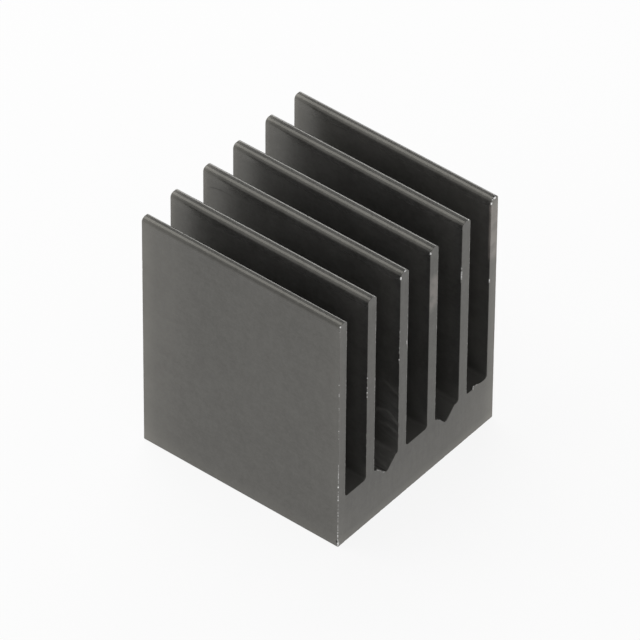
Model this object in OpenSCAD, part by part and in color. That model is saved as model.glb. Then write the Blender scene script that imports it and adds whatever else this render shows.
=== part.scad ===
// Extruded heat sink: one aluminium section with a row of upright fins on a thick base,
// sawn off square at both ends. X runs across the fins, Y along the extrusion, Z up.
// The origin is the middle of the underside.

/* [Overall] */
// Width across the row of fins
width = 25; // [21:0.5:40]
// Length along the fins, from one sawn end to the other
length = 25.2; // [8:0.2:100]
// Height from the underside to the fin tips
height = 29.9; // [12:0.1:60]

/* [Base] */
// Thickness of the base under a flat channel floor
base_thickness = 6.1; // [2:0.1:10]
// Radius of the two lower corners of the section
base_corner_radius = 0.1; // [0.05:0.05:1]

/* [Fins] */
// Thickness of the four inner fins
fin_thickness = 1.27; // [0.6:0.01:1.8]
// Thickness of the two outer fins
outer_fin_thickness = 1.1; // [0.6:0.01:2]
// Radius of the two corners of each fin tip
tip_radius = 0.5; // [0.1:0.05:0.6]

/* [Channels] */
// Width of the middle channel
middle_channel_width = 3.42; // [2:0.02:5]
// Width of the two channels that have a groove in the floor
grooved_channel_width = 3.82; // [3.6:0.02:5]
// Radius of the fillets where a channel floor meets the fins
floor_fillet_radius = 0.4; // [0.1:0.05:0.55]

/* [Grooves] */
// Width of a V groove at the channel floor
groove_width = 2.8; // [1:0.05:3]
// Angle between the two sides of a V groove
groove_angle = 90; // [70:1:115]
// Radius at the bottom of a V groove
groove_bottom_radius = 0.35; // [0.05:0.05:0.5]
// Shift of a V groove from the middle of its channel, towards the middle of the section
groove_shift = 0.14; // [0:0.02:0.24]

/* [Hidden] */

// Arcs are drawn with this many steps to a full turn
$fn = 96;

// Narrowest flat land that the rounding leaves on a fin tip
narrowest_land = 0.1;

// Channels from the middle outwards: each starts where the fin before it ends
grooved_channel_start = middle_channel_width / 2 + fin_thickness;
grooved_channel_middle = grooved_channel_start + grooved_channel_width / 2;
outer_channel_start = grooved_channel_start + grooved_channel_width + fin_thickness;
outer_channel_width = width / 2 - outer_fin_thickness - outer_channel_start;
outer_channel_middle = outer_channel_start + outer_channel_width / 2;

// Fins of one half of the section, as [middle, thickness]
half_fins = [
    [middle_channel_width / 2 + fin_thickness / 2, fin_thickness],
    [outer_channel_start - fin_thickness / 2, fin_thickness],
    [width / 2 - outer_fin_thickness / 2, outer_fin_thickness],
];

// Channels of the whole section, as [middle, width]
channels = [
    [-outer_channel_middle, outer_channel_width],
    [-grooved_channel_middle, grooved_channel_width],
    [0, middle_channel_width],
    [grooved_channel_middle, grooved_channel_width],
    [outer_channel_middle, outer_channel_width],
];

// A block whose corners along its lower edge are rounded, centred on the Y axis
module block_with_round_foot(size_x, size_y, radius) {
    translate([-size_x / 2, radius]) square([size_x, size_y - radius]);
    translate([radius - size_x / 2, 0]) square([size_x - 2 * radius, radius]);
    for (side = [-1, 1])
        translate([side * (size_x / 2 - radius), radius]) circle(radius);
}

// Metal that fills the inside corner at the origin with a concave arc
module corner_fillet(radius) {
    difference() {
        square(radius);
        translate([radius, radius]) circle(radius);
    }
}

// A fin that stands in the base and ends in a tip with two rounded corners
module fin_section(thickness) {
    tip = min(tip_radius, (thickness - narrowest_land) / 2);
    translate([0, height]) mirror([0, 1])
        block_with_round_foot(thickness, height - base_corner_radius, tip);
}

// Fillets along both sides of a channel floor
module floor_fillets(channel_width) {
    fillet = min(floor_fillet_radius, channel_width / 2);
    for (side = [0, 1])
        mirror([side, 0]) translate([-channel_width / 2, base_thickness]) corner_fillet(fillet);
}

// V shape with a rounded bottom, its sides running on above the floor to clear the foot of the fillets
module v_shape() {
    half_angle = groove_angle / 2;
    side_rise = floor_fillet_radius / 2;
    sharp_depth = groove_width / 2 / tan(half_angle);
    arc_middle = groove_bottom_radius / sin(half_angle) - sharp_depth;
    tangent_x = groove_bottom_radius * cos(half_angle);
    tangent_y = arc_middle - groove_bottom_radius * sin(half_angle);
    open_half_width = (sharp_depth + side_rise) * tan(half_angle);
    polygon([
        [-open_half_width, side_rise],
        [-tangent_x, tangent_y],
        [tangent_x, tangent_y],
        [open_half_width, side_rise],
    ]);
    translate([0, arc_middle]) circle(groove_bottom_radius);
}

// Groove in a channel floor, kept between the two fins of its channel
module groove_section() {
    intersection() {
        translate([-groove_shift, 0]) v_shape();
        translate([-grooved_channel_width / 2, -base_thickness])
            square([grooved_channel_width, base_thickness + floor_fillet_radius]);
    }
}

// The extruded section: base, fins and floor fillets, less the two grooves
module section() {
    difference() {
        union() {
            block_with_round_foot(width, base_thickness, base_corner_radius);
            for (fin = half_fins, side = [-1, 1])
                translate([side * fin[0], 0]) fin_section(fin[1]);
            for (channel = channels)
                translate([channel[0], 0]) floor_fillets(channel[1]);
        }
        for (side = [0, 1])
            mirror([side, 0]) translate([grooved_channel_middle, base_thickness]) groove_section();
    }
}

module heat_sink() {
    color([0.20, 0.19, 0.185])
        rotate([90, 0, 0])
            linear_extrude(height = length, center = true) section();
}

heat_sink();
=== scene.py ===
"""An extruded heat sink in satin black anodised aluminium, sawn off square at both ends.

The CAD node is one extrusion. The mesh made here keeps its section and its length, and adds what the
sawing and handling left on it: broken edges, small chips, burrs and bare metal where the finish is gone.
Sizes of the object are in millimetres until the mesh is made. The frame and the studio are in metres.
The front end is the sawn end towards -Y, left is towards -X, and fins are counted from the left.
"""
import math
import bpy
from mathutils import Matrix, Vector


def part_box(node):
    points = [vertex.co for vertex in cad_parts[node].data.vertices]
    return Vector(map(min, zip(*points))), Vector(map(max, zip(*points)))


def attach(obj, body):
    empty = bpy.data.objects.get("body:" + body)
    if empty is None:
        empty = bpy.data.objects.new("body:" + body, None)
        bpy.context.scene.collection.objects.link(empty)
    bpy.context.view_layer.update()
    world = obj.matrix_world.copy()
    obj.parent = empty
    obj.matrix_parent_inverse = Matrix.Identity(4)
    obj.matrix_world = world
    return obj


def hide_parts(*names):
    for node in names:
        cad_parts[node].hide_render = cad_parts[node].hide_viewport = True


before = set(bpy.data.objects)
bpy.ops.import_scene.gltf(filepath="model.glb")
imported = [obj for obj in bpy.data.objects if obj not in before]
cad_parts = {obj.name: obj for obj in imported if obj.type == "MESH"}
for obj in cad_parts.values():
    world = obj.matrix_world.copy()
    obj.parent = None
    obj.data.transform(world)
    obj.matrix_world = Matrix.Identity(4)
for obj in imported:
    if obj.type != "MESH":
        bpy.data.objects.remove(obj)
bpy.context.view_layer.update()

from types import SimpleNamespace

import bpy
from mathutils import Matrix, Vector, noise
from mathutils.geometry import delaunay_2d_cdt

MM = 0.001

# Overall size of the section and its length, from the frame
NODE = "heat_sink"
NODE_LOW, NODE_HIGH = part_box(NODE)
WIDTH = (NODE_HIGH.x - NODE_LOW.x) / MM
LENGTH = (NODE_HIGH.y - NODE_LOW.y) / MM
HEIGHT = (NODE_HIGH.z - NODE_LOW.z) / MM

# The section: base, fins, channels and grooves
BASE_THICKNESS = 6.1
BASE_CORNER_RADIUS = 0.1
FIN_THICKNESS = 1.27
OUTER_FIN_THICKNESS = 1.1
TIP_RADIUS = 0.5
MIDDLE_CHANNEL_WIDTH = 3.42
GROOVED_CHANNEL_WIDTH = 3.82
FLOOR_FILLET_RADIUS = 0.4
GROOVE_WIDTH = 2.8
GROOVE_HALF_ANGLE = math.radians(45)
GROOVE_BOTTOM_RADIUS = 0.35
GROOVE_SHIFT = 0.14

# Channels with a groove in the floor, where channel 0 is the rightmost
GROOVED_CHANNELS = (1, 3)

# Each fin's tip from the right of the section to its left: how much lower it is than the tallest one,
# and the radius of its left and of its right corner, which wear has changed on the two outer fins
TIPS = (
    (0.0, TIP_RADIUS, 0.4),
    (0.08, TIP_RADIUS, TIP_RADIUS),
    (0.09, TIP_RADIUS, TIP_RADIUS),
    (0.0, TIP_RADIUS, TIP_RADIUS),
    (0.0, TIP_RADIUS, TIP_RADIUS),
    (0.23, TIP_RADIUS, 0.36),
)

# Sides and middles of the fins, as x
LEFT_FACE = -WIDTH / 2
THIRD_FIN_RIGHT = -MIDDLE_CHANNEL_WIDTH / 2
THIRD_FIN_LEFT = THIRD_FIN_RIGHT - FIN_THICKNESS
SECOND_FIN_RIGHT = THIRD_FIN_LEFT - GROOVED_CHANNEL_WIDTH
SECOND_FIN_LEFT = SECOND_FIN_RIGHT - FIN_THICKNESS
FOURTH_FIN_LEFT = -THIRD_FIN_RIGHT
FOURTH_FIN_RIGHT = -THIRD_FIN_LEFT
FIFTH_FIN_LEFT = -SECOND_FIN_RIGHT
SIXTH_FIN_LEFT = WIDTH / 2 - OUTER_FIN_THICKNESS
SIXTH_FIN_MIDDLE = WIDTH / 2 - OUTER_FIN_THICKNESS / 2

# How finely the section's outline is drawn
ARC_STEP = math.radians(7.5)
LINE_STEP = 0.5
FINE_STEP = 0.08
FINE_REACH = 0.6

# Distances below which two points, or two places across the section, count as one
SAME_POINT = 0.000001
SAME_PLACE = 0.01

# Least cosine of half the turn at a corner, which limits how far its normal is lengthened
LEAST_CORNER_COSINE = 0.5

# The two sawn ends, as the sign of their y
FRONT = -1
BACK = 1

# The broken edge round each sawn end, and the bands beside it in which the edge's wear fades out
EDGE_BREAK = 0.035
EDGE_BREAK_WANDER = 0.02
EDGE_NOISE_PER_MM = 1.7
SIDE_BAND = 0.12
FACE_BAND = 0.15
FACE_BAND_BEHIND_EDGE = 0.05
CORNER_BREAK_SHARE = 0.5
CORNER_BAND_SHARE = 0.9

# A lower corner's round is told by a reach that is a little more than its radius
CORNER_REACH = 1.01 * BASE_CORNER_RADIUS

# Nicks along the front end's lower edge, and the highest point of the outline that counts as that edge
FOOT_NICK_DEPTH = 0.08
FOOT_NICK_NOISE_PER_MM = 2.6
FOOT_HEIGHT = 0.02

# Distances from each sawn end at which the section is repeated, out to near the middle of the length
SECTION_DISTANCES = (SIDE_BAND, 0.3, 0.45, 0.7, 1.1, 1.8, 3.0, 4.6, 6.4, 8.4, 10.4)

# A point at least this share of the side band away from a sawn end is on the plain sides
PLAIN_SIDE_SHARE = 0.99

# Layers of the noise, so that the broken edges, nicks, lips and rubbed edges have patterns of their own
EDGE_BREAK_LAYER = 7.0
FOOT_NICK_LAYER = 3.0
LIP_LAYER = 5.0
EDGE_RUB_LAYER = 11.0

# Chips on the front end's edges, as (x, z, reach in x, reach in z, how bare)
CHIPS = (
    (LEFT_FACE, 0.35, 0.16, 0.3, 0.8),
    (-12.42, 1.0, 0.14, 0.3, 0.82),
    (LEFT_FACE, 1.5, 0.1, 0.3, 0.8),
    (LEFT_FACE, 1.95, 0.12, 0.2, 0.7),
    (LEFT_FACE, 3.9, 0.06, 0.14, 0.66),
    (LEFT_FACE, 4.7, 0.06, 0.14, 0.66),
    (LEFT_FACE, 6.38, 0.08, 0.16, 0.75),
    (LEFT_FACE, 6.93, 0.07, 0.14, 0.72),
    (LEFT_FACE, 8.15, 0.1, 0.17, 0.95),
    (LEFT_FACE, 8.7, 0.06, 0.12, 0.68),
    (LEFT_FACE, 14.7, 0.06, 0.14, 0.56),
    (LEFT_FACE, 15.7, 0.09, 0.12, 0.66),
    (LEFT_FACE, 18.75, 0.06, 0.14, 0.6),
    (LEFT_FACE, 20.5, 0.07, 0.26, 0.6),
    (LEFT_FACE, 21.85, 0.08, 0.12, 0.74),
    (-12.43, 29.43, 0.1, 0.14, 0.88),
    (LEFT_FACE, 28.9, 0.06, 0.3, 0.62),
    (SECOND_FIN_LEFT, 19.67, 0.08, 0.16, 0.86),
    (SECOND_FIN_LEFT, 18.4, 0.06, 0.12, 0.75),
    (SECOND_FIN_LEFT, 17.75, 0.08, 0.15, 0.84),
    (SECOND_FIN_LEFT, 17.2, 0.06, 0.12, 0.8),
    (-7.05, 29.83, 0.2, 0.12, 0.82),
    (-2.95, 29.3, 0.1, 0.3, 0.95),
    (-2.3, 29.88, 0.25, 0.1, 0.95),
    (THIRD_FIN_RIGHT, 20.16, 0.25, 0.34, 0.92),
    (THIRD_FIN_LEFT, 22.3, 0.07, 0.14, 0.7),
    (THIRD_FIN_LEFT, 21.6, 0.06, 0.1, 0.64),
    (THIRD_FIN_LEFT, 21.07, 0.08, 0.14, 0.7),
    (THIRD_FIN_LEFT, 20.2, 0.07, 0.12, 0.64),
    (THIRD_FIN_LEFT, 18.64, 0.08, 0.16, 0.74),
    (1.72, 29.35, 0.1, 0.24, 0.95),
    (FIFTH_FIN_LEFT, 23.9, 0.07, 0.3, 0.62),
    (FIFTH_FIN_LEFT, 22.9, 0.1, 1.1, 0.76),
    (7.75, 29.72, 0.2, 0.14, 0.82),
    (11.41, 29.35, 0.14, 0.24, 0.95),
    (11.62, 29.75, 0.16, 0.12, 0.85),
    (SIXTH_FIN_MIDDLE, HEIGHT, 0.32, 0.16, 1.0),
    (SIXTH_FIN_LEFT, 19.15, 0.07, 0.36, 0.76),
    (9.2, BASE_THICKNESS, 0.16, 0.2, 0.7),
    (9.75, BASE_THICKNESS, 0.25, 0.2, 0.66),
)
CHIP_DEPTH = 0.06
CHIP_RIM_SHARE = 0.5
CHIP_REACH_SHARE = 1.5

# Stretches of the front end's edges where the finish is rubbed thin: (x, z) of both ends and how much
RUBBED_STRETCHES = (
    ((LEFT_FACE, 8.2), (LEFT_FACE, 11.3), 0.68),
    ((LEFT_FACE, 2.2), (LEFT_FACE, 3.8), 0.66),
    ((LEFT_FACE, 0.0), (LEFT_FACE, 9.0), 0.58),
    ((LEFT_FACE, 14.0), (LEFT_FACE, 21.5), 0.42),
    ((LEFT_FACE, 28.0), (LEFT_FACE, 29.6), 0.42),
    ((LEFT_FACE, 0.0), (-LEFT_FACE, 0.0), 0.34),
    ((-6.62, 6.3), (-4.9, 4.9), 0.52),
    ((3.4, 6.05), (4.5, 4.95), 0.5),
    ((9.3, BASE_THICKNESS), (10.4, BASE_THICKNESS), 0.5),
)

# Rubbing elsewhere along the ends' edges: the least of it, which is more on the right edges of the front
# end's fins, and how far it rises above that in places
EDGE_RUB = 0.16
RIGHT_EDGE_RUB = 0.56
EDGE_RUB_WANDER = 0.3
BACK_EDGE_RUB_WANDER = 0.9
EDGE_RUB_NOISE_PER_MM = 0.35

# Burrs that the saw left on the front end's edges: (x, z) of both ends, height and reach along the length.
# A slanted burr is steep where it starts and runs out at its other end. A ragged one is uneven all along.
SLANTED_BURRS = (
    ((9.15, BASE_THICKNESS), (10.44, BASE_THICKNESS), 0.48, 0.3),
    ((3.7, 5.75), (4.1, 5.35), 0.09, 0.2),
)
RAGGED_BURRS = (
    ((8.3, BASE_THICKNESS), (9.15, BASE_THICKNESS), 0.1, 0.16),
    ((THIRD_FIN_LEFT, 17.5), (THIRD_FIN_LEFT, 23.2), 0.13, 0.1),
    ((SECOND_FIN_LEFT, 16.4), (SECOND_FIN_LEFT, 21.0), 0.09, 0.1),
    ((SECOND_FIN_LEFT, 8.0), (SECOND_FIN_LEFT, 14.0), 0.05, 0.1),
    ((THIRD_FIN_LEFT, 9.0), (THIRD_FIN_LEFT, 16.0), 0.05, 0.1),
)
BURR_EDGE_BREAK = 0.015
BURR_NOISE_SPREAD = 30.0
SLANTED_BURR_STEEP_SHARE = 0.06
SLANTED_BURR_LEVEL = 0.85
SLANTED_BURR_WANDER = 0.3
SLANTED_BURR_NOISE_PER_MM = 4.0
RAGGED_BURR_END_STEEPNESS = 4.0
RAGGED_BURR_LEVEL = 0.35
RAGGED_BURR_WANDER = 1.3
RAGGED_BURR_NOISE_PER_MM = 3.1

# Lips of the front end with a wider broken edge: (x, z) of both ends and the width
WORN_LIPS = (
    ((-6.62, 6.3), (-4.95, 4.9), 0.24),
    ((3.5, 5.95), (4.45, 5.0), 0.09),
    ((THIRD_FIN_RIGHT, 19.9), (THIRD_FIN_RIGHT, 20.45), 0.13),
    ((LEFT_FACE, 0.1), (LEFT_FACE, 1.0), 0.22),
    ((11.6, 29.85), (12.35, 29.85), 0.24),
)
LIP_END_STEEPNESS = 6.0
LIP_LEVEL = 0.8
LIP_WANDER = 0.5
LIP_NOISE_PER_MM = 3.0

# How far aside of a stretch, burr or lip a point of the outline may lie and still belong to it
BESIDE_STRETCH = 0.25

# Paler marks on the front end of two fins, as (x left, x right, z low, z high, how much). The first one is a
# stain that stops short of its fin's left side. The second one takes in both sides of its fin: a pinkish
# stain with painted glare.
STAINS_AND_GLARE = (
    (FOURTH_FIN_LEFT + SAME_POINT, FOURTH_FIN_RIGHT + SAME_POINT, 21.2, 26.6, 0.5),
    (SIXTH_FIN_LEFT - SAME_POINT, WIDTH / 2 + SAME_POINT, 21.3, HEIGHT, 0.85),
)
STAIN_AND_GLARE_FADE = 1.2

# Scraped and dusty patch on the left wall of the third fin and in the groove at its foot
SCRAPED_X = (-4.75, -2.86)
SCRAPED_Z = (4.6, 17.0)
SCRAPED_FADE = 6.0
SCRAPED_LENGTH = 5.0

# Height above the fillets of the channel floors up to which the die left a duller skin
DULL_SKIN_HEIGHT = 2.4

# Angle between two faces above which the edge between them is shaded as sharp
SHARP_ANGLE = math.radians(20)

# Settings of the triangulation: keep what is inside the ring, and how close two points may be
FILL_INSIDE = 1
FILL_PRECISION = 0.0000001


def smooth(value):
    """A step from 0 to 1 with soft ends."""
    value = min(max(value, 0.0), 1.0)
    return value * value * (3.0 - 2.0 * value)


def faded_ends(share, steepness):
    """1 along a stretch, falling to 0 at both of its ends."""
    return smooth(steepness * share) * smooth(steepness * (1.0 - share))


def wander(x, z, per_mm, layer):
    """Smooth noise between about -1 and 1 over the section."""
    return noise.noise(Vector((x * per_mm, layer, z * per_mm)))


# The section's outline


def arc(centre_x, centre_z, radius, start, end):
    """Points along an arc, both ends included. Angles are in degrees."""
    start = math.radians(start)
    end = math.radians(end)
    steps = max(2, math.ceil(abs(end - start) / ARC_STEP))
    angles = [start + (end - start) * k / steps for k in range(steps + 1)]
    return [(centre_x + radius * math.cos(a), centre_z + radius * math.sin(a)) for a in angles]


def fins():
    """Left side, right side and tip of each fin, from the right of the section to its left."""
    left_half = [
        (LEFT_FACE, LEFT_FACE + OUTER_FIN_THICKNESS),
        (SECOND_FIN_LEFT, SECOND_FIN_RIGHT),
        (THIRD_FIN_LEFT, THIRD_FIN_RIGHT),
    ]
    right_half = [(-right, -left) for left, right in left_half]
    sides = right_half + left_half[::-1]
    return [(left, right, tip) for (left, right), tip in zip(sides, TIPS)]


def flat_floor(left, right):
    """A channel floor with a fillet at each side, from right to left."""
    radius = FLOOR_FILLET_RADIUS
    middle = BASE_THICKNESS + radius
    return arc(right - radius, middle, radius, 0, -90) + arc(left + radius, middle, radius, -90, -180)


def grooved_floor(left, right):
    """A channel floor with a V groove nearer to the middle of the section, from right to left."""
    if right < 0:
        return [(-x, z) for x, z in reversed(grooved_floor(-right, -left))]
    radius = FLOOR_FILLET_RADIUS
    fillet_middle = BASE_THICKNESS + radius
    groove_x = (left + right) / 2 - GROOVE_SHIFT
    groove_left = groove_x - GROOVE_WIDTH / 2
    groove_right = groove_x + GROOVE_WIDTH / 2
    depth = GROOVE_WIDTH / 2 / math.tan(GROOVE_HALF_ANGLE)
    bottom_middle = BASE_THICKNESS - depth + GROOVE_BOTTOM_RADIUS / math.sin(GROOVE_HALF_ANGLE)
    slope = math.degrees(GROOVE_HALF_ANGLE)

    # The groove cuts off the foot of the fillet on its left
    cut_off = max(left + radius - groove_left, 0.0)
    cut_angle = math.degrees(math.asin(cut_off / radius))
    points = arc(right - radius, fillet_middle, radius, 0, -90)
    points.append((groove_right, BASE_THICKNESS))
    points += arc(groove_x, bottom_middle, GROOVE_BOTTOM_RADIUS, -slope, slope - 180)
    points += arc(left + radius, fillet_middle, radius, -90 - cut_angle, -180)
    return points


def section_corners():
    """The section's outline without points along its straight sides, with the metal on the left."""
    foot = BASE_CORNER_RADIUS
    points = arc(foot - WIDTH / 2, foot, foot, 180, 270)
    points += arc(WIDTH / 2 - foot, foot, foot, 270, 360)
    row = fins()
    for place, (left, right, (drop, left_radius, right_radius)) in enumerate(row):
        top = HEIGHT - drop
        points += arc(right - right_radius, top - right_radius, right_radius, 0, 90)
        points += arc(left + left_radius, top - left_radius, left_radius, 90, 180)
        if place + 1 < len(row):
            channel_left = row[place + 1][1]
            floor = grooved_floor if place in GROOVED_CHANNELS else flat_floor
            points += floor(channel_left, left)
    return points


def along_stretch(x, z, start, end):
    """Share of the way along a stretch at which a point lies beside it, or None if it lies elsewhere."""
    run = Vector(end) - Vector(start)
    offset = Vector((x, z)) - Vector(start)
    share = offset.dot(run) / run.length_squared
    aside = (offset - share * run).length
    if aside > BESIDE_STRETCH or not 0.0 <= share <= 1.0:
        return None
    return share


def needs_fine_steps(x, z):
    """True at the lower edge and near a chip, a burr or a lip, where the outline carries small forms."""
    if z < FOOT_HEIGHT:
        return True
    if any(math.hypot(x - chip[0], z - chip[1]) < FINE_REACH for chip in CHIPS):
        return True
    stretches = SLANTED_BURRS + RAGGED_BURRS + WORN_LIPS
    return any(along_stretch(x, z, stretch[0], stretch[1]) is not None for stretch in stretches)


def section_outline():
    """The closed outline with points along its straight sides, closer together where it needs them."""
    corners = section_corners()
    points = []
    for (x, z), (next_x, next_z) in zip(corners, corners[1:] + corners[:1]):
        run = math.hypot(next_x - x, next_z - z)
        if run < SAME_POINT:
            continue
        gone = 0.0
        step = 0.0
        while gone <= run - step / 2:
            point = (x + (next_x - x) * gone / run, z + (next_z - z) * gone / run)
            points.append(point)
            step = FINE_STEP if needs_fine_steps(*point) else LINE_STEP
            gone += step
    return points


def outward_normals(outline):
    """A unit normal for each point, lengthened at a corner so that an inset keeps its width."""
    normals = []
    count = len(outline)
    for place in range(count):
        before = Vector(outline[place - 1])
        here = Vector(outline[place])
        after = Vector(outline[(place + 1) % count])
        first = (here - before).normalized()
        second = (after - here).normalized()
        first = Vector((first.y, -first.x))
        second = Vector((second.y, -second.x))
        middle = (first + second).normalized()
        normals.append(middle / max(middle.dot(first), LEAST_CORNER_COSINE))
    return normals


# Wear on the sawn ends and the walls


def slanted_lift(share, place):
    """Share of its height that a slanted burr has at a share of its length."""
    uneven = SLANTED_BURR_LEVEL + SLANTED_BURR_WANDER * noise.noise(place * SLANTED_BURR_NOISE_PER_MM)
    return smooth(share / SLANTED_BURR_STEEP_SHARE) * (1.0 - share) * uneven


def ragged_lift(share, place):
    """Share of its height that a ragged burr has at a share of its length."""
    uneven = RAGGED_BURR_LEVEL + RAGGED_BURR_WANDER * noise.noise(place * RAGGED_BURR_NOISE_PER_MM)
    return faded_ends(share, RAGGED_BURR_END_STEEPNESS) * max(0.0, uneven)


def burr_rise(x, z, distance):
    """How far the burrs lift a point of the outline, at a distance from the front end."""
    rise = 0.0
    for lift, burrs in ((slanted_lift, SLANTED_BURRS), (ragged_lift, RAGGED_BURRS)):
        for start, end, height, reach in burrs:
            share = along_stretch(x, z, start, end)
            if share is None or distance > reach:
                continue
            place = Vector((x, z, height * BURR_NOISE_SPREAD))
            rise += height * lift(share, place) * (1.0 - smooth(distance / reach))
    return rise


def chips_at(x, z):
    """The chips round a point of the outline, as (nearness to the middle, smaller reach, how bare)."""
    found = []
    for chip_x, chip_z, reach_x, reach_z, bare in CHIPS:
        inside = 1.0 - math.hypot((x - chip_x) / reach_x, (z - chip_z) / reach_z)
        if inside > 0.0:
            found.append((inside, min(reach_x, reach_z), bare))
    return found


def chip_amount(x, z):
    """How bare the chips leave a point of the outline, with 0 outside every chip."""
    amounts = [bare * smooth(inside / CHIP_RIM_SHARE) for inside, _, bare in chips_at(x, z)]
    return max(amounts, default=0.0)


def chip_reach(x, z):
    """How far the chips at a point of the outline reach inwards over the end face."""
    return max((CHIP_REACH_SHARE * reach for _, reach, _ in chips_at(x, z)), default=0.0)


def edge_rub(x, z, end):
    """How far the finish is rubbed on one end's edge, apart from the stretches and the chips."""
    widest = EDGE_RUB_WANDER if end == FRONT else BACK_EDGE_RUB_WANDER
    on_right_edge = any(abs(x - right) < SAME_PLACE for _, right, _ in fins())
    least = RIGHT_EDGE_RUB if end == FRONT and on_right_edge else EDGE_RUB
    return least + widest * max(0.0, wander(x, z, EDGE_RUB_NOISE_PER_MM, EDGE_RUB_LAYER * end))


def rubbed_amount(x, z, end):
    """How far the finish is rubbed through on one end's edge at a point of the outline."""
    amount = edge_rub(x, z, end)
    if end == BACK:
        return amount
    for stretch_start, stretch_end, rubbed in RUBBED_STRETCHES:
        if along_stretch(x, z, stretch_start, stretch_end) is not None:
            amount = max(amount, rubbed)
    return max(amount, chip_amount(x, z))


def foot_nick(x, z):
    """Depth share of the nicks along the front end's lower edge."""
    if z > FOOT_HEIGHT:
        return 0.0
    return max(0.0, wander(x, 0.0, FOOT_NICK_NOISE_PER_MM, FOOT_NICK_LAYER))


def lip_width(x, z):
    """Width of the broken edge along the worn lips, with 0 elsewhere."""
    width = 0.0
    for start, end, widest in WORN_LIPS:
        share = along_stretch(x, z, start, end)
        if share is not None:
            uneven = LIP_LEVEL + LIP_WANDER * wander(x, z, LIP_NOISE_PER_MM, LIP_LAYER)
            width = max(width, widest * uneven * faded_ends(share, LIP_END_STEEPNESS))
    return width


def at_lower_corner(x, z):
    """True on the round of a lower corner of the section."""
    return z < CORNER_REACH and abs(x) > WIDTH / 2 - CORNER_REACH


def edge_break(x, z, end):
    """Width of one end's broken edge at a point of the outline."""
    width = EDGE_BREAK + EDGE_BREAK_WANDER * wander(x, z, EDGE_NOISE_PER_MM, EDGE_BREAK_LAYER * end)
    if end == FRONT:
        chipped = CHIP_DEPTH * chip_amount(x, z)
        width = max(width + chipped + FOOT_NICK_DEPTH * foot_nick(x, z), lip_width(x, z))
        if burr_rise(x, z, 0.0) > 0.0:
            width = BURR_EDGE_BREAK + chipped
    if at_lower_corner(x, z):
        width = min(width, BASE_CORNER_RADIUS * CORNER_BREAK_SHARE)
    return width


def face_inset(x, z, width, end):
    """How far inside the outline the flat of an end face starts, behind a broken edge of a given width."""
    if at_lower_corner(x, z):
        return BASE_CORNER_RADIUS * CORNER_BAND_SHARE
    chipped = chip_reach(x, z) if end == FRONT else 0.0
    return max(FACE_BAND, width + FACE_BAND_BEHIND_EDGE, chipped)


def stain_and_glare_amount(x, y, z):
    """How much a point of the front end is stained, with painted glare on the sixth fin's end."""
    if y > SIDE_BAND - LENGTH / 2:
        return 0.0
    amount = 0.0
    for left, right, low, high, stain_and_glare in STAINS_AND_GLARE:
        if left < x < right:
            amount = max(amount, stain_and_glare * smooth((z - low) / STAIN_AND_GLARE_FADE) * smooth((high - z) / STAIN_AND_GLARE_FADE))
    return amount


def on_plain_sides(y):
    """True between the side bands of the two sawn ends."""
    return abs(y) <= LENGTH / 2 - PLAIN_SIDE_SHARE * SIDE_BAND


def scraped_amount(x, y, z):
    """How much a point lies in the scraped patch of a channel wall."""
    left, right = SCRAPED_X
    low, high = SCRAPED_Z
    if not left < x < right or not low < z < high or not on_plain_sides(y):
        return 0.0
    return smooth((high - z) / SCRAPED_FADE) * (1.0 - smooth((y + LENGTH / 2) / SCRAPED_LENGTH))


def dull_amount(x, y, z):
    """1 on a channel floor, fading out up its walls and towards the sawn ends."""
    outside = z < 2 * BASE_CORNER_RADIUS or abs(x) > SIXTH_FIN_LEFT + SAME_PLACE
    if outside or not on_plain_sides(y):
        return 0.0
    return 1.0 - smooth((z - BASE_THICKNESS - FLOOR_FILLET_RADIUS) / DULL_SKIN_HEIGHT)


# The mesh


class MeshParts:
    """Points, faces and point values of a mesh while it is being put together."""

    def __init__(self):
        self.points = []
        self.faces = []
        self.edge = []
        self.bare = []

    def ring(self, points, edge, bare):
        """Adds a closed row of points and returns their numbers."""
        first = len(self.points)
        self.points += points
        self.edge += [edge] * len(points)
        self.bare += bare
        return list(range(first, len(self.points)))

    def plain_ring(self, points):
        """Adds a closed row of points with no wear."""
        return self.ring(points, 0.0, [0.0] * len(points))

    def band(self, near, far):
        """Joins two rings by a band of faces. The near ring is nearer to the front end."""
        count = len(near)
        for place in range(count):
            after = (place + 1) % count
            self.faces.append((near[place], far[place], far[after], near[after]))

    def fill(self, ring, end):
        """Closes a ring with triangles, at the front or the back end."""
        flat = [Vector((self.points[k][0], self.points[k][2])) for k in ring]
        loop = list(range(len(ring)))
        made = delaunay_2d_cdt(flat, [], [loop], FILL_INSIDE, FILL_PRECISION)
        _, _, triangles, origins, _, _ = made
        for triangle in triangles:
            corners = [ring[origins[k][0]] for k in triangle]
            self.faces.append(tuple(corners if end == FRONT else reversed(corners)))


def section_at(outline, normals, end, distance):
    """The outline at a distance from one end, with the burrs that are there."""
    if end == BACK:
        return outline
    moved = []
    for (x, z), normal in zip(outline, normals):
        rise = burr_rise(x, z, distance)
        moved.append((x + normal.x * rise, z + normal.y * rise))
    return moved


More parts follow.
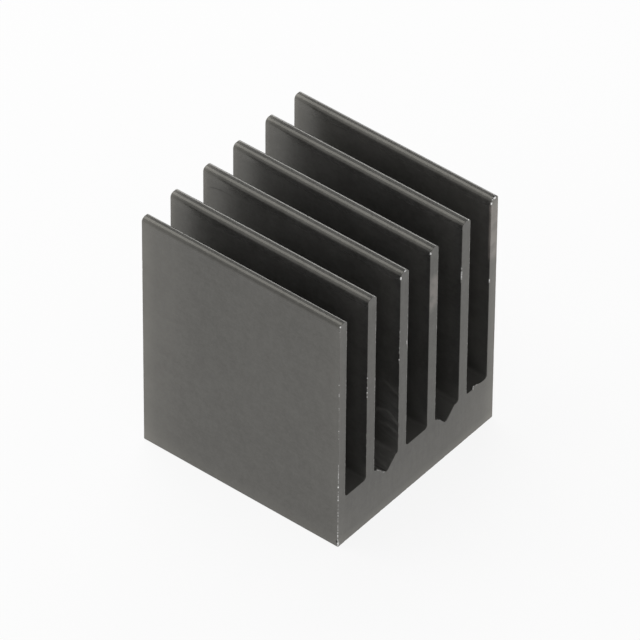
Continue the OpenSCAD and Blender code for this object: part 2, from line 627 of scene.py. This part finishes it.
def end_rings(parts, outline, normals, end):
    """The rings of one end: inside the end face, over the broken edge and along the side."""
    at_end = section_at(outline, normals, end, 0.0)
    end_normals = outward_normals(at_end)
    widths = [edge_break(x, z, end) for x, z in outline]
    rubbed = [rubbed_amount(x, z, end) for x, z in outline]

    def edge_ring(inset_share, distance_share):
        """A ring of the broken edge, at shares of its width inwards and along the length."""
        points = []
        for (x, z), normal, width in zip(at_end, end_normals, widths):
            inset = width * inset_share
            y = end * (LENGTH / 2 - width * distance_share)
            points.append((x - normal.x * inset, y, z - normal.y * inset))
        return parts.ring(points, 1.0, rubbed)

    face_points = []
    for (x, z), normal, width in zip(outline, normals, widths):
        inset = face_inset(x, z, width, end)
        face_points.append((x - normal.x * inset, end * LENGTH / 2, z - normal.y * inset))
    face = parts.plain_ring(face_points)
    parts.fill(face, end)

    # The broken edge is a quarter round, and this is the inset of its middle as a share of its width
    bend = 1.0 - math.sqrt(0.5)
    return [face, edge_ring(1.0, 0.0), edge_ring(bend, bend), edge_ring(0.0, 1.0)]


def side_ring(parts, outline, normals, end, distance):
    """A ring of the plain section at a distance from one end."""
    y = end * (LENGTH / 2 - distance)
    return parts.plain_ring([(x, y, z) for x, z in section_at(outline, normals, end, distance)])


def heat_sink_mesh():
    """The whole extrusion as one closed mesh."""
    parts = MeshParts()
    outline = section_outline()
    normals = outward_normals(outline)
    front = end_rings(parts, outline, normals, FRONT)
    back = end_rings(parts, outline, normals, BACK)
    front += [side_ring(parts, outline, normals, FRONT, d) for d in SECTION_DISTANCES]
    back += [side_ring(parts, outline, normals, BACK, d) for d in SECTION_DISTANCES]
    rings = front + back[::-1]
    for near, far in zip(rings, rings[1:]):
        parts.band(near, far)

    mesh = bpy.data.meshes.new("extruded_heat_sink")
    mesh.from_pydata([(x * MM, y * MM, z * MM) for x, y, z in parts.points], [], parts.faces)
    layers = {"edge": parts.edge, "bare": parts.bare}
    for name, amount in (("stain_and_glare", stain_and_glare_amount), ("scraped", scraped_amount), ("dull", dull_amount)):
        layers[name] = [amount(x, y, z) for x, y, z in parts.points]
    for name, values in layers.items():
        layer = mesh.attributes.new(name, "FLOAT", "POINT")
        layer.data.foreach_set("value", values)
    mesh.shade_smooth()
    mesh.set_sharp_from_angle(angle=SHARP_ANGLE)
    mesh.validate()
    return mesh


# Shader nodes


class Graph:
    """A short way to add shader nodes and to link them."""

    def __init__(self, tree):
        self.tree = tree
        tree.nodes.clear()

    def node(self, kind, **settings):
        """Adds a node and sets its properties."""
        made = self.tree.nodes.new(kind)
        for name, value in settings.items():
            setattr(made, name, value)
        return made

    def feed(self, socket, value):
        """Links a socket to another one, or sets its value."""
        if isinstance(value, bpy.types.NodeSocket):
            self.tree.links.new(value, socket)
        else:
            socket.default_value = value

    def value(self, name):
        """A point value of the mesh."""
        return self.node("ShaderNodeAttribute", attribute_name=name).outputs["Fac"]

    def split(self, vector):
        """The x, y and z of a vector."""
        made = self.node("ShaderNodeSeparateXYZ")
        self.feed(made.inputs[0], vector)
        return tuple(made.outputs)

    def scaled(self, vector, scale):
        """A vector with its parts multiplied by those of another."""
        made = self.node("ShaderNodeVectorMath", operation="MULTIPLY")
        self.feed(made.inputs[0], vector)
        self.feed(made.inputs[1], scale)
        return made.outputs[0]

    def math(self, operation, first, second=0.0):
        """A step of arithmetic on one or two values."""
        made = self.node("ShaderNodeMath", operation=operation)
        self.feed(made.inputs[0], first)
        self.feed(made.inputs[1], second)
        return made.outputs[0]

    def total(self, first, *others):
        """All the values added up."""
        for value in others:
            first = self.math("ADD", first, value)
        return first

    def product(self, first, second):
        """Two values multiplied."""
        return self.math("MULTIPLY", first, second)

    def distance(self, first, second):
        """How far two values are apart."""
        return self.math("ABSOLUTE", self.math("SUBTRACT", first, second))

    def stretch(self, value, low, high, to_low=0.0, to_high=1.0, kind="SMOOTHSTEP"):
        """A value spread from one range to another, and held at the ends of the range."""
        made = self.node("ShaderNodeMapRange", interpolation_type=kind)
        self.feed(made.inputs["Value"], value)
        self.feed(made.inputs["From Min"], low)
        self.feed(made.inputs["From Max"], high)
        self.feed(made.inputs["To Min"], to_low)
        self.feed(made.inputs["To Max"], to_high)
        return made.outputs["Result"]

    def blend(self, factor, first, second):
        """A mix of two colours. The node has sockets of the same name for each kind of data."""
        made = self.node("ShaderNodeMix", data_type="RGBA", clamp_factor=False)
        self.feed(made.inputs["Factor"], factor)
        self.feed(made.inputs[6], first)
        self.feed(made.inputs[7], second)
        return made.outputs[2]

    def blend_value(self, factor, first, second):
        """A mix of two values."""
        made = self.node("ShaderNodeMix", data_type="FLOAT")
        self.feed(made.inputs["Factor"], factor)
        self.feed(made.inputs[2], first)
        self.feed(made.inputs[3], second)
        return made.outputs[0]

    def noise(self, vector, scale, detail, roughness):
        """Noise between 0 and 1. The scale is per metre."""
        made = self.node("ShaderNodeTexNoise")
        self.feed(made.inputs["Vector"], vector)
        self.feed(made.inputs["Scale"], scale)
        self.feed(made.inputs["Detail"], detail)
        self.feed(made.inputs["Roughness"], roughness)
        return made.outputs["Fac"]


# The anodised finish

# Colours of the dyed skin, of what wear has made of it, of painted glare, and of stains partly painted as
# glare
ANODISED_DARK = (0.0320, 0.0311, 0.0292, 1.0)
ANODISED_LIGHT = (0.0450, 0.0439, 0.0414, 1.0)
# Painted glare: a pale colour laid along edges in place of light
PAINTED_GLARE_COLOUR = (0.194, 0.186, 0.168, 1.0)
ANODISED_WORN = (0.110, 0.108, 0.104, 1.0)
ANODISED_DULL = (0.0425, 0.0418, 0.0400, 1.0)
# Stain colour, also used as painted glare on the sixth fin's end
STAIN_AND_GLARE_COLOUR = (0.29, 0.26, 0.24, 1.0)
BARE_ALUMINIUM = (0.80, 0.80, 0.79, 1.0)

# Gloss of the anodised skin
GLOSS_TINT = (1.0, 0.97, 0.87, 1.0)
ANODISED_IOR = 1.65

# Noises of the finish, as (scale per metre, detail, roughness), and how much three of them are drawn out:
# the die's lines along the length, the saw's marks upwards, and the strokes of the scraped patch on a slant
DIE_LINES = (3600.0, 4.0, 0.65)
SAW_MARKS = (3300.0, 3.0, 0.6)
STROKES = (2300.0, 3.0, 0.6)
CLOUDS = (170.0, 4.0, 0.55)
MOTTLE = (900.0, 3.0, 0.6)
FLECKS = (2400.0, 3.0, 0.6)
GRAIN = (7000.0, 3.0, 0.6)
SPECKS = (5200.0, 3.0, 0.6)
DIE_LINE_SCALE = (1.0, 0.012, 1.0)
SAW_MARK_SCALE = (1.0, 1.0, 0.12)
STROKE_LENGTHS = (1.0, 10.0, 1.0)
STROKE_SLANT = (math.radians(15), 0.0, 0.0)

# How a noise is spread into a strength, as (low noise, high noise, strength at low, strength at high)
CLOUD_SPREAD = (0.3, 0.7, 0.0, 1.0)
DIE_LINE_SPREAD = (0.45, 0.8, 0.0, 0.12)
SAW_MARK_SPREAD = (0.38, 0.66, 0.0, 0.16)
PATCH_SPREAD = (0.35, 0.65, 0.0, 0.14)
GRAIN_SPREAD = (0.35, 0.75, 0.0, 0.14)
MARGIN_SPREAD = (0.2, 0.8, 0.8, 1.2)
STROKE_SPREAD = (0.36, 0.68, 0.2, 0.7)
STAIN_AND_GLARE_SPREAD = (0.3, 0.6, 0.45, 1.0)
RUB_SPREAD = (0.3, 0.7, 0.1, 0.6)
ROUGHNESS_SPREAD = (0.25, 0.75, 0.30, 0.36)

# Bare metal: how much the specks vary it, and the sums at which it starts to show and is whole
NOISE_MIDDLE = 0.5
BARE_VARIATION = 1.1
BARE_SHOWS = (0.45, 1.0)

# Size of the normal's y at which a surface starts to count as a sawn end, and counts as one wholly
END_FACING = (0.55, 0.85)

# Depths below the tallest tip at which the smoother finish of the tips starts and is whole
TIP_DEPTHS = (1.6, 0.7)

# Roughness where it differs from the sides
DULL_ROUGHNESS = 0.75
TIP_ROUGHNESS = 0.25
SCRATCH_ROUGHNESS = 0.7
BARE_ROUGHNESS = 0.3
END_ROUGHNESS_ADDED = 0.08

# Relief of the lines, marks and grain
GRAIN_HEIGHT_SHARE = 0.35
TIP_BUMP_SHARE = 0.2
BUMP_STRENGTH = 0.6
BUMP_DISTANCE = 0.000006

# Painted glare and shade along the edges of the ends, outer faces and channel walls, as (width, strength).
# The painted glare is paler than the rest; the painted shade is darker, where the strength is below 0.
END_GLARE_MARGINS = {
    "right": ((2.0, 0.36), (8.0, 0.24)),
    "left": ((2.0, 0.16),),
    "foot": ((1.4, 0.50), (6.5, 0.30)),
}
OUTER_FACE_GLARE_MARGINS = {
    "back": ((2.0, 0.30), (8.0, 0.24)),
    "front": ((1.5, 0.08), (6.0, 0.05)),
    "foot": ((2.0, 0.22), (8.0, 0.06)),
}
CHANNEL_WALL_LIGHT_AND_SHADE_MARGINS = {
    "back": ((0.8, 0.40), (2.4, 0.28)),
    "front": ((1.4, -0.15), (5.0, 0.045)),
}

# Painted light: how much paler the right wall of the rightmost channel is than the other walls
RIGHT_WALL_PAINTED_LIGHT = 0.11

# Distance outwards from an outer fin's middle over which its outer face's margins set in
OUTER_FACE_FADE = 0.1

# Distances from a wall between which what is painted on it fades out
NEAR_WALL = 0.1
OFF_WALL = 0.2

# Scratches on the left wall of the third fin: start and end along the length, height at both, how far
# the scratch arches up between them, half its width and how pale it is
SCRATCHES = (
    (12.0, 8.4, 27.7, 28.05, 0.3, 0.1, 0.25),
    (7.6, 2.6, 27.6, 27.62, 0.09, 0.1, 0.25),
    (7.3, 5.2, 27.45, 27.2, -0.1, 0.1, 0.25),
    (-10.0, -12.9, 14.9, 13.6, 0.25, 0.5, 0.16),
    (-9.4, -12.9, 9.8, 9.2, 1.4, 0.5, 0.3),
    (-9.8, -12.9, 8.3, 7.9, 1.0, 0.5, 0.2),
)

# Height of the hump along a scratch at which it is whole, and its paleness at which it is wholly rough
SCRATCH_WHOLE_HUMP = 0.4
SCRATCH_ROUGH_FROM = 0.25


def summed_margins(graph, distances, margins):
    """Adds up bands that fade out with the distance from each named edge."""
    total = 0.0
    for edge, bands in margins.items():
        for width, strength in bands:
            band = graph.stretch(distances[edge], 0.0, width * MM, strength, 0.0)
            total = graph.math("ADD", total, band)
    return total


def painted_light_margins(graph, fields):
    """How much painted glare makes the ends, outer faces and channel walls paler along their edges, and
    painted shade darker near the walls' front.
    """
    x, y, z = graph.split(fields.place)
    distances = {
        "right": graph.math("SUBTRACT", WIDTH * MM / 2, x),
        "left": graph.math("ADD", WIDTH * MM / 2, x),
        "back": graph.math("SUBTRACT", LENGTH * MM / 2, y),
        "front": graph.math("ADD", LENGTH * MM / 2, y),
        "foot": z,
    }
    face_start = SIXTH_FIN_MIDDLE * MM
    face_whole = (SIXTH_FIN_MIDDLE + OUTER_FACE_FADE) * MM
    on_outer_face = graph.stretch(graph.math("ABSOLUTE", x), face_start, face_whole)
    right_wall_start = (SIXTH_FIN_LEFT - OFF_WALL) * MM
    right_wall_whole = (SIXTH_FIN_LEFT - NEAR_WALL) * MM
    on_right_wall = graph.stretch(x, right_wall_start, right_wall_whole, 0.0, RIGHT_WALL_PAINTED_LIGHT)
    on_walls = graph.math("ADD", on_right_wall, summed_margins(graph, distances, CHANNEL_WALL_LIGHT_AND_SHADE_MARGINS))
    on_faces = summed_margins(graph, distances, OUTER_FACE_GLARE_MARGINS)
    on_sides = graph.blend_value(on_outer_face, on_walls, on_faces)
    return graph.blend_value(fields.on_end, on_sides, summed_margins(graph, distances, END_GLARE_MARGINS))


def wall_scratches(graph, place):
    """How pale each scratch is along its middle, fading out over its half width and at its ends."""
    x, y, z = graph.split(place)
    off_wall = graph.distance(x, THIRD_FIN_LEFT * MM)
    on_wall = graph.stretch(off_wall, NEAR_WALL * MM, OFF_WALL * MM, 1.0, 0.0)
    total = 0.0
    for start, end, start_height, end_height, arch, half_width, pale in SCRATCHES:
        share = graph.stretch(y, start * MM, end * MM, kind="LINEAR")

        # A parabola that is 0 at both ends of the scratch and 1 half way along it
        hump = graph.product(share, graph.math("SUBTRACT", 4.0, graph.product(share, 4.0)))
        climb = graph.product(share, (end_height - start_height) * MM)
        line = graph.total(start_height * MM, climb, graph.product(hump, arch * MM))
        stroke = graph.stretch(graph.distance(z, line), 0.0, half_width * MM, pale, 0.0)
        ends = graph.stretch(hump, 0.0, SCRATCH_WHOLE_HUMP)
        total = graph.math("ADD", total, graph.product(stroke, ends))
    return graph.product(graph.math("MINIMUM", total, 1.0), on_wall)


def scrape_strokes(graph, place):
    """Noise drawn out into slanted strokes."""
    slanted = graph.node("ShaderNodeMapping", vector_type="TEXTURE")
    graph.feed(slanted.inputs["Rotation"], STROKE_SLANT)
    graph.feed(slanted.inputs["Scale"], STROKE_LENGTHS)
    graph.feed(slanted.inputs["Vector"], place)
    return graph.noise(slanted.outputs["Vector"], *STROKES)


def bare_metal(graph, specks):
    """How bare the metal is: whole in the deep chips, speckled where an edge is only rubbed."""
    uneven = graph.product(graph.math("SUBTRACT", specks, NOISE_MIDDLE), BARE_VARIATION)
    return graph.stretch(graph.math("ADD", graph.value("bare"), uneven), *BARE_SHOWS)


def surface_fields(graph):
    """The masks, marks and noises that the finish is made from."""
    place = graph.node("ShaderNodeTexCoord").outputs["Object"]
    normal = graph.node("ShaderNodeNewGeometry").outputs["Normal"]
    facing_end = graph.math("ABSOLUTE", graph.split(normal)[1])
    on_end = graph.stretch(facing_end, *END_FACING)
    tip_start, tip_whole = ((HEIGHT - depth) * MM for depth in TIP_DEPTHS)
    specks = graph.noise(place, *SPECKS)
    return SimpleNamespace(
        place=place,
        on_end=on_end,
        on_side=graph.math("SUBTRACT", 1.0, on_end),
        on_tip=graph.stretch(graph.split(place)[2], tip_start, tip_whole),
        die_lines=graph.noise(graph.scaled(place, DIE_LINE_SCALE), *DIE_LINES),
        saw_marks=graph.noise(graph.scaled(place, SAW_MARK_SCALE), *SAW_MARKS),
        clouds=graph.noise(place, *CLOUDS),
        mottle=graph.noise(place, *MOTTLE),
        flecks=graph.noise(place, *FLECKS),
        grain=graph.noise(place, *GRAIN),
        specks=specks,
        dull=graph.value("dull"),
        scratch=wall_scratches(graph, place),
        bare=bare_metal(graph, specks),
    )


def dyed_colour(graph, fields):
    """The dyed skin: clouds, patches and grain, with die lines on the sides and saw marks on the ends."""
    skin = graph.blend(graph.stretch(fields.clouds, *CLOUD_SPREAD), ANODISED_DARK, ANODISED_LIGHT)
    pale = graph.total(
        graph.product(graph.stretch(fields.die_lines, *DIE_LINE_SPREAD), fields.on_side),
        graph.product(graph.stretch(fields.saw_marks, *SAW_MARK_SPREAD), fields.on_end),
        graph.stretch(fields.mottle, *PATCH_SPREAD),
        graph.stretch(fields.flecks, *PATCH_SPREAD),
        graph.stretch(fields.grain, *GRAIN_SPREAD),
    )
    return graph.blend(pale, skin, ANODISED_WORN)


def wear_and_painted_light_colour(graph, fields, colour):
    """A colour with painted glare and shade along edges, dull floors, scrapes, stains partly painted as
    glare, rubbed edges and bare metal laid over it.
    """
    uneven_glare = graph.stretch(fields.clouds, *MARGIN_SPREAD)
    strokes = graph.stretch(scrape_strokes(graph, fields.place), *STROKE_SPREAD)
    blotches = graph.stretch(fields.mottle, *STAIN_AND_GLARE_SPREAD)
    speckle = graph.stretch(fields.specks, *RUB_SPREAD)
    layers = (
        # Painted glare along the edges, and painted shade where a strength is below 0
        (graph.product(painted_light_margins(graph, fields), uneven_glare), PAINTED_GLARE_COLOUR),
        (fields.dull, ANODISED_DULL),
        (graph.product(graph.value("scraped"), strokes), ANODISED_WORN),
        (fields.scratch, ANODISED_WORN),
        # Stains, and painted glare on the sixth fin's end
        (graph.product(graph.value("stain_and_glare"), blotches), STAIN_AND_GLARE_COLOUR),
        (graph.product(graph.value("edge"), speckle), ANODISED_WORN),
        (fields.bare, BARE_ALUMINIUM),
    )
    for amount, layer in layers:
        colour = graph.blend(amount, colour, layer)
    return colour


def surface_roughness(graph, fields):
    """Satin on the sides, smoother on the tips, rougher on the ends, channel floors and scratches."""
    roughness = graph.stretch(fields.clouds, *ROUGHNESS_SPREAD)
    roughness = graph.blend_value(fields.dull, roughness, DULL_ROUGHNESS)
    roughness = graph.blend_value(fields.on_tip, roughness, TIP_ROUGHNESS)
    scratched = graph.stretch(fields.scratch, 0.0, SCRATCH_ROUGH_FROM)
    roughness = graph.blend_value(scratched, roughness, SCRATCH_ROUGHNESS)
    roughness = graph.math("ADD", roughness, graph.product(fields.on_end, END_ROUGHNESS_ADDED))
    return graph.blend_value(fields.bare, roughness, BARE_ROUGHNESS)


def surface_relief(graph, fields):
    """The normal of a surface with die lines, saw marks and grain, which are fainter on the tips."""
    height = graph.total(
        graph.product(fields.die_lines, fields.on_side),
        graph.product(fields.saw_marks, fields.on_end),
        graph.product(fields.grain, GRAIN_HEIGHT_SHARE),
    )
    share = graph.stretch(fields.on_tip, 0.0, 1.0, 1.0, TIP_BUMP_SHARE)
    bump = graph.node("ShaderNodeBump")
    graph.feed(bump.inputs["Strength"], BUMP_STRENGTH)
    graph.feed(bump.inputs["Distance"], BUMP_DISTANCE)
    graph.feed(bump.inputs["Height"], graph.product(height, share))
    return bump.outputs["Normal"]


def anodised_aluminium():
    """Dyed anodising over extruded aluminium, worn through at its edges."""
    material = bpy.data.materials.new("black_anodised_aluminium")
    material.use_nodes = True
    graph = Graph(material.node_tree)
    fields = surface_fields(graph)
    shader = graph.node("ShaderNodeBsdfPrincipled")
    graph.feed(shader.inputs["Base Color"], wear_and_painted_light_colour(graph, fields, dyed_colour(graph, fields)))
    graph.feed(shader.inputs["Metallic"], fields.bare)
    graph.feed(shader.inputs["Roughness"], surface_roughness(graph, fields))
    graph.feed(shader.inputs["Normal"], surface_relief(graph, fields))
    graph.feed(shader.inputs["IOR"], ANODISED_IOR)
    graph.feed(shader.inputs["Specular Tint"], GLOSS_TINT)
    output = graph.node("ShaderNodeOutputMaterial")
    graph.feed(output.inputs["Surface"], shader.outputs["BSDF"])
    return material


# The studio

FLOOR_RADIUS = 0.9
FLOOR_STEPS = 96
FLOOR_DROP = 0.00002
FLOOR_COLOUR = (0.95, 0.95, 0.95, 1.0)
FLOOR_GLOW_SHARE = 0.88
WHITE = (1.0, 1.0, 1.0, 1.0)

# Lamps as (name, place, width, height, level), where a level of 1 is as pale as white paper
LAMPS = (
    ("top_softbox", (0.0, 0.15, 0.298), 0.3, 0.24, 2.15),
    ("back_softbox", (0.335, 0.187, 0.14), 0.28, 0.19, 2.2),
)

# Levels of the surroundings near the horizon, half way up and overhead, with the heights at which they
# start and end, as the sine of the angle above the horizon. They lean, so that heights count as more on
# the right than on the left.
LOW_LEVEL = 0.656
MIDDLE_LEVEL = 0.864
HIGH_LEVEL = 0.224
LOW_END = 0.1
MIDDLE_START = 0.5
MIDDLE_END = 0.52
HIGH_START = 0.76
LEAN = 0.2

# The photograph's camera. The offsets move the picture, and the roll turns it.
CAMERA_AZIMUTH = math.radians(-51.323)
CAMERA_ELEVATION = math.radians(41.857)
CAMERA_ROLL = math.radians(0.488)
CAMERA_DISTANCE = 0.8265
CAMERA_AIM = Vector((0.0, 0.0, 0.015))
CAMERA_OFFSET_RIGHT = -0.0000664
CAMERA_OFFSET_UP = 0.0002574
CAMERA_SENSOR = 36.0
CAMERA_LENS = 464.1
CAMERA_CLIP_START = 0.01
CAMERA_CLIP_END = 10.0


def seen_directly(graph):
    """1 for rays that show the floor itself: from the camera, or by a reflection or through glass."""
    path = graph.node("ShaderNodeLightPath")
    seen = graph.math("MAXIMUM", path.outputs["Is Camera Ray"], path.outputs["Is Glossy Ray"])
    return graph.math("MAXIMUM", seen, path.outputs["Is Transmission Ray"])


def floor_material():
    """White paper, partly glowing where it is seen so that it stays pale, and still shaded by the object."""
    material = bpy.data.materials.new("studio_floor")
    material.use_nodes = True
    graph = Graph(material.node_tree)
    paper = graph.node("ShaderNodeBsdfDiffuse")
    graph.feed(paper.inputs["Color"], FLOOR_COLOUR)
    glow = graph.node("ShaderNodeEmission")
    graph.feed(glow.inputs["Color"], WHITE)
    mix = graph.node("ShaderNodeMixShader")
    graph.feed(mix.inputs[0], graph.product(seen_directly(graph), FLOOR_GLOW_SHARE))
    graph.feed(mix.inputs[1], paper.outputs[0])
    graph.feed(mix.inputs[2], glow.outputs[0])
    output = graph.node("ShaderNodeOutputMaterial")
    graph.feed(output.inputs["Surface"], mix.outputs[0])
    return material


def studio_floor():
    """A round sheet under the object."""
    turns = [2.0 * math.pi * k / FLOOR_STEPS for k in range(FLOOR_STEPS)]
    rim = [(FLOOR_RADIUS * math.cos(t), FLOOR_RADIUS * math.sin(t), -FLOOR_DROP) for t in turns]
    mesh = bpy.data.meshes.new("studio_floor")
    mesh.from_pydata(rim, [], [tuple(range(FLOOR_STEPS))])
    floor = bpy.data.objects.new("studio_floor", mesh)
    mesh.materials.append(floor_material())
    bpy.context.scene.collection.objects.link(floor)


def studio_world():
    """Plain surroundings, palest half way up and darkest overhead."""
    world = bpy.data.worlds.new("studio")
    world.use_nodes = True
    bpy.context.scene.world = world
    graph = Graph(world.node_tree)
    x, _, z = graph.split(graph.node("ShaderNodeTexCoord").outputs["Generated"])
    height = graph.math("ADD", z, graph.product(x, LEAN))
    lower = graph.stretch(height, LOW_END, MIDDLE_START, LOW_LEVEL, MIDDLE_LEVEL)
    level = graph.blend_value(graph.stretch(height, MIDDLE_END, HIGH_START), lower, HIGH_LEVEL)
    background = graph.node("ShaderNodeBackground")
    graph.feed(background.inputs["Color"], WHITE)
    graph.feed(background.inputs["Strength"], level)
    output = graph.node("ShaderNodeOutputWorld")
    graph.feed(output.inputs["Surface"], background.outputs[0])


def softbox(name, place, width, height, level):
    """A large lamp that faces the object."""
    lamp = bpy.data.lights.new(name, "AREA")
    lamp.shape = "RECTANGLE"
    lamp.size = width
    lamp.size_y = height
    lamp.energy = level * math.pi * width * height
    holder = bpy.data.objects.new(name, lamp)
    holder.visible_camera = False
    holder.location = place
    holder.rotation_euler = (CAMERA_AIM - holder.location).to_track_quat("-Z", "Y").to_euler()
    bpy.context.scene.collection.objects.link(holder)


def photo_camera():
    """The camera at the photograph's place, with a long lens."""
    flat = math.cos(CAMERA_ELEVATION)
    ahead = Vector((
        -math.sin(CAMERA_AZIMUTH) * flat,
        math.cos(CAMERA_AZIMUTH) * flat,
        -math.sin(CAMERA_ELEVATION),
    ))
    level_right = Vector((math.cos(CAMERA_AZIMUTH), math.sin(CAMERA_AZIMUTH), 0.0))
    level_up = level_right.cross(ahead)
    right = math.cos(CAMERA_ROLL) * level_right + math.sin(CAMERA_ROLL) * level_up
    up = right.cross(ahead)
    place = CAMERA_AIM - CAMERA_OFFSET_RIGHT * right - CAMERA_OFFSET_UP * up - CAMERA_DISTANCE * ahead
    lens = bpy.data.cameras.new("camera")
    lens.sensor_width = CAMERA_SENSOR
    lens.lens = CAMERA_LENS
    lens.clip_start = CAMERA_CLIP_START
    lens.clip_end = CAMERA_CLIP_END
    camera = bpy.data.objects.new("camera", lens)
    turn = Matrix((right, up, -ahead)).transposed().to_4x4()
    camera.matrix_world = Matrix.Translation(place) @ turn
    bpy.context.scene.collection.objects.link(camera)
    bpy.context.scene.camera = camera


# The heat sink in place of its CAD node
mesh = heat_sink_mesh()
mesh.materials.append(anodised_aluminium())
piece = bpy.data.objects.new("extruded_heat_sink", mesh)
bpy.context.scene.collection.objects.link(piece)
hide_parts(NODE)
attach(piece, "root")

# The studio round it
studio_floor()
studio_world()
for lamp in LAMPS:
    softbox(*lamp)
photo_camera()
bpy.context.scene.view_settings.view_transform = "Standard"
